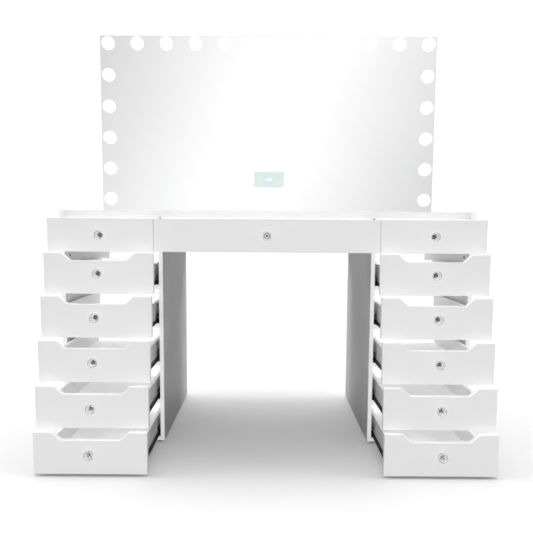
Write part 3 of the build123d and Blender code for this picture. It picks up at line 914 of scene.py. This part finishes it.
class STATION_OT_mirror(StationOperator, Operator):
    """Make the mirror's glass, rails, back cover and brackets"""

    bl_idname = "station.mirror"
    bl_label = "Mirror"

    GLASS_EDGE = 0.0008
    COVER_EDGE = 0.0012
    RAIL = 0.018
    BOTTOM_RAIL = 0.036
    BRACKET_METAL = 0.003
    BRACKET_EDGE = 0.0004

    def execute(self, context):
        self.glass()
        self.rails()
        self.make_boards("mirror_cover", [node_box("mirror_back_cover")], "mirror_back_cover",
                         "cover_powder", "white_sheet", self.COVER_EDGE)
        self.brackets()
        return {"FINISHED"}

    def glass(self):
        """Silvered face and arrised edges: one rounded sheet, its faces sorted by direction."""
        sheet = rounded_box(*node_box("mirror_glass"), self.GLASS_EDGE, 3)
        quads = sheet.faces[0]
        silvered = sheet.normals[quads][:, :, Y].max(axis=1) < -0.98
        sheet = Surface(sheet.points, [quads[silvered], quads[~silvered]], sheet.normals)
        make_piece("mirror_sheet", [(sheet, ("mirror_silver", "glass_edge"))],
                   "mirror_glass")

    def rails(self):
        """Four rails behind the glass, the bottom one the widest."""
        low, high = node_box("mirror_frame")
        foot, head = low[Z] + self.BOTTOM_RAIL, high[Z] - self.RAIL
        boards = [(low, (high[X], high[Y], foot)), ((low[X], low[Y], head), high),
                  ((low[X], low[Y], foot), (low[X] + self.RAIL, high[Y], head)),
                  ((high[X] - self.RAIL, low[Y], foot), (high[X], high[Y], head))]
        self.make_boards("mirror_rails", boards, "mirror_frame")

    def brackets(self):
        """Bent steel brackets: an L-section in Y and Z carried along X."""
        pieces = []
        metal, swap = self.BRACKET_METAL, [Y, X, Z]
        radii = [share * metal for share in (1.2, 0.3, 0.3, 0.5, 0.3, 0.3)]
        for low, high in node_solids("mirror_brackets"):
            y, z = low[Y] + metal, low[Z] + metal
            corners = [(low[Y], low[Z]), (high[Y], low[Z]), (high[Y], z), (y, z), (y, high[Z]),
                       (low[Y], high[Z])]
            bent = extruded(rounded_outline(corners, radii, 4), low[X], high[X], self.BRACKET_EDGE)
            pieces.append(Surface(bent.points[:, swap], bent.faces, bent.normals[:, swap]))
        make_piece("mirror_angle_brackets", [(joined(pieces), "cover_powder")],
                   "mirror_brackets")


class STATION_OT_lamps(StationOperator, Operator):
    """Make the globe bulbs and their sockets"""

    bl_idname = "station.lamps"
    bl_label = "Lamps"

    SKIRT = ((0.0182, 0.0004), (0.0183, 0.0), (0.0179, -0.0010), (0.0158, -0.0026),
             (0.0140, -0.0036), (0.0133, -0.0048), (0.0130, -0.0062))
    CAP = ((0.0130, -0.020), (0.0, -0.0215))
    COLLAR = ((0.0, -0.032), (0.0145, -0.032), (0.0150, -0.0312), (0.0150, 0.0), (0.0170, 0.0002),
              (0.0170, 0.0022), (0.0165, 0.0030), (0.0158, 0.0034), (0.0156, 0.0050),
              (0.0150, 0.0058), (0.0142, 0.0060), (0.0137, 0.0056), (0.0135, 0.0048),
              (0.0135, -0.0215), (0.0, -0.0218))

    def execute(self, context):
        places = self.places()
        globe, skirt, collar = (copied(turned(profile, (0, 0, 0), (0, -1, 0), 40), places)
                                for profile in (self.globe(), self.skirt(), self.COLLAR))
        bulbs = make_piece("globe_bulbs", [(globe, "opal_diffuser"), (skirt, "bulb_skirt")],
                           "bulbs", smooth_below=30)
        sockets = make_piece("lamp_sockets", [(collar, "socket_plastic")],
                             "bulb_sockets", smooth_below=30)
        bulbs.visible_glossy = sockets.visible_glossy = False
        return {"FINISHED"}

    def places(self):
        """Where each bulb's axis meets the glass: along the top, then down both sides."""
        sizes = self.sizes
        low, high = node_box("bulbs")
        low, high = low + sizes.bulb_radius, high - sizes.bulb_radius
        across = np.linspace(low[X], high[X], sizes.bulbs_across)
        down = np.linspace(high[Z], low[Z], sizes.bulbs_down)[1:]
        places = [(x, high[Z]) for x in across] + [(x, z) for x in (low[X], high[X]) for z in down]
        return [(x, glass_face(), z) for x, z in places]

    def globe(self):
        """Profile of the diffuser: an arc of a circle from the front pole to its joint."""
        radius, stand = self.sizes.bulb_radius, self.sizes.bulb_stand
        angle = np.linspace(0, math.radians(136), 22)
        profile = np.stack((radius * np.sin(angle), stand + radius * np.cos(angle)), axis=1)
        profile[0, 0] = 0.0
        return profile

    def skirt(self):
        """Profile of the plastic skirt from its joint with the diffuser, and of the cap below."""
        joint = self.sizes.bulb_stand + self.sizes.bulb_radius * math.cos(math.radians(135))
        return [(radius, joint + out) for radius, out in self.SKIRT] + list(self.CAP)


class STATION_OT_touch_window(StationOperator, Operator):
    """Make the lit touch window in the mirror and the module behind it"""

    bl_idname = "station.touch_window"
    bl_label = "Touch window"

    RAISE = 0.0004
    UNDER = 0.0001
    CORNER = 0.0025
    DIAL_RADIUS = 0.0245
    BAR_HALF_WIDTH, BAR_BELOW, BAR_ABOVE, BAR_CORNER = 0.017, 0.007, 0.005, 0.0055
    RINGS = ((0.010, 0.0080), (-0.014, 0.0045))
    RING_LEFT = 0.044
    RING_WIDTH = 0.0018
    STEPS = (0.008, 0.013, 0.018, 0.023)
    STEP_LEFT, STEP_PITCH, STEP_WIDTH, STEP_DROP, STEP_CORNER = 0.036, 0.0062, 0.0034, 0.018, 0.0012
    MODULE_EDGE = 0.0015

    def execute(self, context):
        low, high = node_box("touch_display")
        x, _, z = (low + high) / 2
        x += self.sizes.window_shift
        half_w, half_h = self.sizes.window_width / 2, self.sizes.window_height / 2
        window = self.plate(x - half_w, z - half_h, x + half_w, z + half_h, self.CORNER, 1)
        out = 2 * self.RAISE
        dial = turned([(self.DIAL_RADIUS, 0.0), (self.DIAL_RADIUS, out), (0.0, out)],
                      (x, glass_face(), z), (0, -1, 0), 56)
        bar = self.plate(x - self.BAR_HALF_WIDTH, z - self.BAR_BELOW, x + self.BAR_HALF_WIDTH,
                         z + self.BAR_ABOVE, self.BAR_CORNER, 3)
        marks = [self.ring(x - self.RING_LEFT, z + rise, radius) for rise, radius in self.RINGS]
        foot = z - self.STEP_DROP
        for number, tall in enumerate(self.STEPS):
            left = x + self.STEP_LEFT + number * self.STEP_PITCH
            marks.append(self.plate(left, foot, left + self.STEP_WIDTH, foot + tall,
                                    self.STEP_CORNER, 3))
        for name, parts in (("touch_window", [(window, "lit_window")]),
                            ("touch_window_dial", [(dial, "window_dial")]),
                            ("touch_window_marks", [(bar, "window_bar"),
                                                    (joined(marks), "window_mark")])):
            make_piece(name, parts)
        module = rounded_box(low, high, self.MODULE_EDGE, 3)
        make_piece("display_module", [(module, "display_case")], "touch_display")
        return {"FINISHED"}

    def plate(self, left, bottom, right, top, radius, layer):
        """A thin plate with rounded corners on the glass."""
        corners = ((left, bottom), (right, bottom), (right, top), (left, top))
        flat = extruded(rounded_outline(corners, radius, 6), glass_face() - layer * self.RAISE,
                        glass_face() + self.UNDER, 0.2 * self.RAISE, 1)
        return Surface(flat.points, flat.faces)

    def ring(self, x, z, radius):
        """A flat ring on the glass: a small section turned about the ring's own axis."""
        out, inner = 3 * self.RAISE, radius - self.RING_WIDTH
        turn = np.linspace(0, 2 * math.pi, 33)[:-1]
        rows = [np.stack((x + r * np.cos(turn), np.full(32, glass_face() - d),
                          z + r * np.sin(turn)), axis=1)
                for r, d in ((radius, 0.0), (radius, out), (inner, out), (inner, 0.0))]
        return Surface(np.concatenate(rows),
                       [grid_quads(4, 32, closed_rows=True, closed_columns=True)])


class STATION_OT_hardware(StationOperator, Operator):
    """Make the glides, bumpers, screws and power inlet, and finish the parts inside the mirror"""

    bl_idname = "station.hardware"
    bl_label = "Hardware"

    SCREW_HEAD, SCREW_RADIUS, SHANK_RADIUS = 0.0025, 0.004, 0.002
    SOCKET_HALF_WIDTH, SOCKET_HALF_HEIGHT = 0.0075, 0.004
    BODY_HALF_WIDTH, BODY_HALF_HEIGHT = 0.015, 0.009
    FLANGE, SOCKET_DEPTH = 0.003, 0.014
    FLANGE_EDGE, BODY_EDGE = 0.0004, 0.0006

    def execute(self, context):
        self.glides()
        self.bumpers()
        self.screws()
        self.inlet()
        frame["nodes"]["led_driver"].data.materials[0] = MATERIALS["driver_case"]
        frame["nodes"]["wiring_loom"].data.materials[0] = MATERIALS["cable_jacket"]
        return {"FINISHED"}

    @staticmethod
    def glides():
        """Turned floor glides with a rounded tread."""
        pieces = []
        for low, high in node_solids("floor_glides"):
            x, y, _ = (low + high) / 2
            radius, _, tall = (high - low) / (2, 1, 1)
            profile = [(0.0, 0.0), (radius - 0.0025, 0.0), (radius - 0.0012, 0.0003),
                       (radius - 0.0003, 0.0012), (radius, 0.0024), (radius, tall - 0.002),
                       (radius - 0.0006, tall - 0.0008), (radius - 0.002, tall), (0.0, tall)]
            pieces.append(turned(profile, (x, y, low[Z]), (0, 0, 1), 40))
        make_piece("turned_glides", [(joined(pieces), "black_plastic")],
                   "floor_glides")

    @staticmethod
    def bumpers():
        """Domed rubber bumpers on the dividers' edges."""
        pieces = []
        for low, high in node_solids("front_bumpers"):
            x, _, z = (low + high) / 2
            radius, tall, _ = (high - low) / (2, 1, 1)
            profile = [(share * radius, rise * tall)
                       for share, rise in ((1, 0), (1, 0.3), (0.9, 0.7), (0.6, 0.95), (0, 1))]
            pieces.append(turned(profile, (x, high[Y], z), (0, -1, 0), 28))
        make_piece("domed_bumpers", [(joined(pieces), "bumper_rubber")],
                   "front_bumpers")

    def screws(self):
        """Screws: a domed head and its shank along each screw's longest side, the head where the
        node's points stand widest."""
        points = node_points("screws")
        head, radius, thin = self.SCREW_HEAD, self.SCREW_RADIUS, self.SHANK_RADIUS
        pieces = []
        for low, high in node_solids("screws"):
            axis = int(np.argmax(high - low))
            middle = (low + high) / 2
            inside = points[((points > low - 1e-5) & (points < high + 1e-5)).all(axis=1)]
            spread = np.linalg.norm(np.delete(inside - middle, axis, axis=1), axis=1)
            wide = inside[spread > 0.9 * radius]
            outwards = 1 if wide[:, axis].mean() > middle[axis] else -1
            under = middle.copy()
            under[axis] = (high[axis] if outwards > 0 else low[axis]) - outwards * head
            shank = (high - low)[axis] - head
            profile = pan_head(radius, head)[::-1]
            profile += [(thin, -0.0001), (thin, 0.001 - shank), (0.0, -shank)]
            pieces.append(turned(profile, under, np.eye(3)[axis] * outwards, 20))
        make_piece("pan_head_screws", [(joined(pieces), "screw_black")], "screws")

    def inlet(self):
        """Power inlet: the flange as a ring round its socket, the body behind it and the pins."""
        solids = sorted(node_solids("power_inlet"), key=lambda pair: -(pair[1] - pair[0])[X])
        low, high = solids[0]
        x, _, z = (low + high) / 2
        left, right = x - self.SOCKET_HALF_WIDTH, x + self.SOCKET_HALF_WIDTH
        bottom, top = z - self.SOCKET_HALF_HEIGHT, z + self.SOCKET_HALF_HEIGHT
        lip = high[Y] - self.FLANGE
        parts = [rounded_box((a, lip, b), (c, high[Y], d), self.FLANGE_EDGE)
                 for a, b, c, d in ((low[X], low[Z], high[X], bottom),
                                    (low[X], top, high[X], high[Z]),
                                    (low[X], bottom, left, top), (right, bottom, high[X], top))]
        half_w, half_h = self.BODY_HALF_WIDTH, self.BODY_HALF_HEIGHT
        parts.append(rounded_box((x - half_w, low[Y], z - half_h),
                                 (x + half_w, high[Y] - self.SOCKET_DEPTH, z + half_h),
                                 self.BODY_EDGE))
        make_piece("inlet_body", [(joined(parts), "black_plastic")], "power_inlet")
        pins = []
        for low, high in solids[1:]:
            x, _, z = (low + high) / 2
            radius, tall, _ = (high - low) / (2, 1, 1)
            profile = [(radius, 0.0), (radius, tall - 0.001), (0.6 * radius, tall - 0.0002),
                       (0.0, tall)]
            pins.append(turned(profile, (x, low[Y], z), (0, 1, 0), 20))
        make_piece("inlet_pins", [(joined(pins), "pin_brass")], "power_inlet")


# ------------------------------------------------------------------ stage
class STATION_OT_stage(StationOperator, Operator):
    """Set up the white floor, the studio light and the camera"""

    bl_idname = "station.stage"
    bl_label = "Stage"

    FLOOR = 40.0
    FLOOR_DROP = 0.0002
    CAMERA_PLACE = (0.0022, -1.8316, 0.8021)
    CAMERA_TURN = (-0.0800, -0.0060, 0.0025)
    CAMERA_LENS = 32.03
    BOUNCE_LOSS = 0.92
    GLOSS_LOSS = 0.22
    AMBIENT = 0.03
    BEHIND = 1.05
    SUNS = (("overhead", (-12, -3, 0), 2.8, 70, True), ("front", (75, 0, -3), 0.2, 30, True),
            ("front_fill", (68, 0, -2), 2.2, 10, False), ("back", (-88, 0, 0), 0.8, 40, False),
            ("left", (0, -70, 0), 1.8, 30, True), ("right", (0, 70, 0), 1.8, 30, True))

    def execute(self, context):
        scene = context.scene
        scene.view_settings.view_transform = "Standard"
        self.floor(scene)
        self.world(scene)
        self.lights(scene)
        camera_data = bpy.data.cameras.new("customer_view")
        camera_data.sensor_width = 36.0
        camera_data.lens = self.CAMERA_LENS
        camera_data.clip_end = 100.0
        camera = bpy.data.objects.new("customer_view", camera_data)
        camera.location = self.CAMERA_PLACE
        down, roll, yaw = self.CAMERA_TURN
        camera.rotation_euler = Euler((math.pi / 2 + down, roll, yaw), "XYZ")
        scene.collection.objects.link(camera)
        scene.camera = camera
        return {"FINISHED"}

    def floor(self, scene):
        """A wide pale floor just below the glides, dimmer to bounced light and to reflections."""
        side = np.linspace(-self.FLOOR, self.FLOOR, 9)
        x, y = np.meshgrid(side, side, indexing="ij")
        points = np.stack((x, y, np.full_like(x, -self.FLOOR_DROP)), axis=-1).reshape(-1, 3)
        mesh = bpy.data.meshes.new("studio_floor")
        mesh.from_pydata(points.tolist(), [], grid_quads(9, 9).tolist())
        tree, shader = new_material("studio_white", Specular_IOR_Level=0.1, Roughness=0.9)
        tone = ranged(tree, noise(tree, object_place(tree), 1.5), 0.70, 0.71)
        rays = add_node(tree, "ShaderNodeLightPath").outputs
        held_back = 1.0
        for ray, loss in (("Is Diffuse Ray", self.BOUNCE_LOSS),
                          ("Is Glossy Ray", self.GLOSS_LOSS)):
            held_back = calc(tree, "SUBTRACT", held_back, calc(tree, "MULTIPLY", rays[ray], loss))
        share = calc(tree, "MULTIPLY", tone, held_back)
        connect(tree, shader, Base_Color=scaled_colour(tree, (1.0, 1.0, 1.0), share))
        mesh.materials.append(MATERIALS["studio_white"])
        floor = bpy.data.objects.new("studio_floor", mesh)
        scene.collection.objects.link(floor)

    def lights(self, scene):
        """Wide soft suns: overhead, in front and at both sides, and two that cast no shadows, a
        fill in front and one behind."""
        for name, turn, strength, spread, shadows in self.SUNS:
            data = bpy.data.lights.new(name, "SUN")
            data.energy = strength
            data.angle = math.radians(spread)
            data.use_shadow = shadows
            light = bpy.data.objects.new(name, data)
            light.rotation_euler = Euler([math.radians(angle) for angle in turn], "XYZ")
            light.visible_glossy = False
            light.visible_transmission = False
            scene.collection.objects.link(light)

    def world(self, scene):
        """White studio: dim to diffuse surfaces, white behind the object, and in reflections one
        broad bright card that darkens to both sides along a slant."""
        world = bpy.data.worlds.new("studio")
        world.use_nodes = True
        scene.world = world
        tree = world.node_tree
        tree.nodes.clear()
        direction = add_node(tree, "ShaderNodeTexCoord").outputs["Generated"]
        parts = add_node(tree, "ShaderNodeSeparateXYZ", [(0, direction)]).outputs
        deep = calc(tree, "MAXIMUM", calc(tree, "ABSOLUTE", parts["Y"]), 0.05)
        across, up = (calc(tree, "DIVIDE", parts[side], deep) for side in "XZ")
        lean = calc(tree, "MULTIPLY", calc(tree, "SUBTRACT", up, 0.2), 0.35)
        off = calc(tree, "ABSOLUTE", calc(tree, "SUBTRACT", across, lean))
        card = ranged(tree, off, 1.07, 0.72, 0.10, 0.42)
        far = ranged(tree, off, 1.0, 0.65, 0.55, 1.3)
        high = ranged(tree, calc(tree, "ABSOLUTE", up), 1.0, 0.65, 0.6, 1.3)
        card = calc(tree, "MULTIPLY", card, calc(tree, "MULTIPLY", far, high))
        rays = add_node(tree, "ShaderNodeLightPath").outputs
        seen = add_node(tree, "ShaderNodeMix", [(0, rays["Is Diffuse Ray"]), (2, card),
                                                (3, self.AMBIENT)]).outputs[0]
        level = add_node(tree, "ShaderNodeMix", [(0, rays["Is Camera Ray"]), (2, seen),
                                                 (3, self.BEHIND)]).outputs[0]
        back = add_node(tree, "ShaderNodeBackground", [("Color", rgba((1.0, 1.0, 1.0))),
                                                       ("Strength", level)])
        out = add_node(tree, "ShaderNodeOutputWorld")
        tree.links.new(back.outputs[0], out.inputs[0])


OPERATORS = (STATION_OT_finishes, STATION_OT_pedestals, STATION_OT_desk_unit, STATION_OT_runners,
             STATION_OT_drawers, STATION_OT_knobs, STATION_OT_mirror, STATION_OT_lamps,
             STATION_OT_touch_window, STATION_OT_hardware, STATION_OT_stage)


class STATION_PT_panel(Panel):
    """Sidebar panel that lists the station's operators and sizes"""

    bl_label = "Styling station"
    bl_idname = "STATION_PT_panel"
    bl_space_type = "VIEW_3D"
    bl_region_type = "UI"
    bl_category = "Station"

    def draw(self, context):
        column = self.layout.column()
        for operator in OPERATORS:
            column.operator(operator.bl_idname)
        for group in (context.scene.station_sizes, context.scene.station_colours):
            for name in group.__annotations__:
                column.prop(group, name)


CLASSES = (StationSizes, StationColours, *OPERATORS, STATION_PT_panel)


def register():
    """Add the classes and the scene's sizes and colours."""
    for one in CLASSES:
        bpy.utils.register_class(one)
    bpy.types.Scene.station_sizes = PointerProperty(type=StationSizes)
    bpy.types.Scene.station_colours = PointerProperty(type=StationColours)


def unregister():
    """Take them away again."""
    del bpy.types.Scene.station_colours
    del bpy.types.Scene.station_sizes
    for one in reversed(CLASSES):
        bpy.utils.unregister_class(one)


def main():
    """Register everything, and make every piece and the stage."""
    register()
    for operator in OPERATORS:
        group, action = operator.bl_idname.split(".")
        getattr(getattr(bpy.ops, group), action)()


if __name__ == "__main__":
    main()
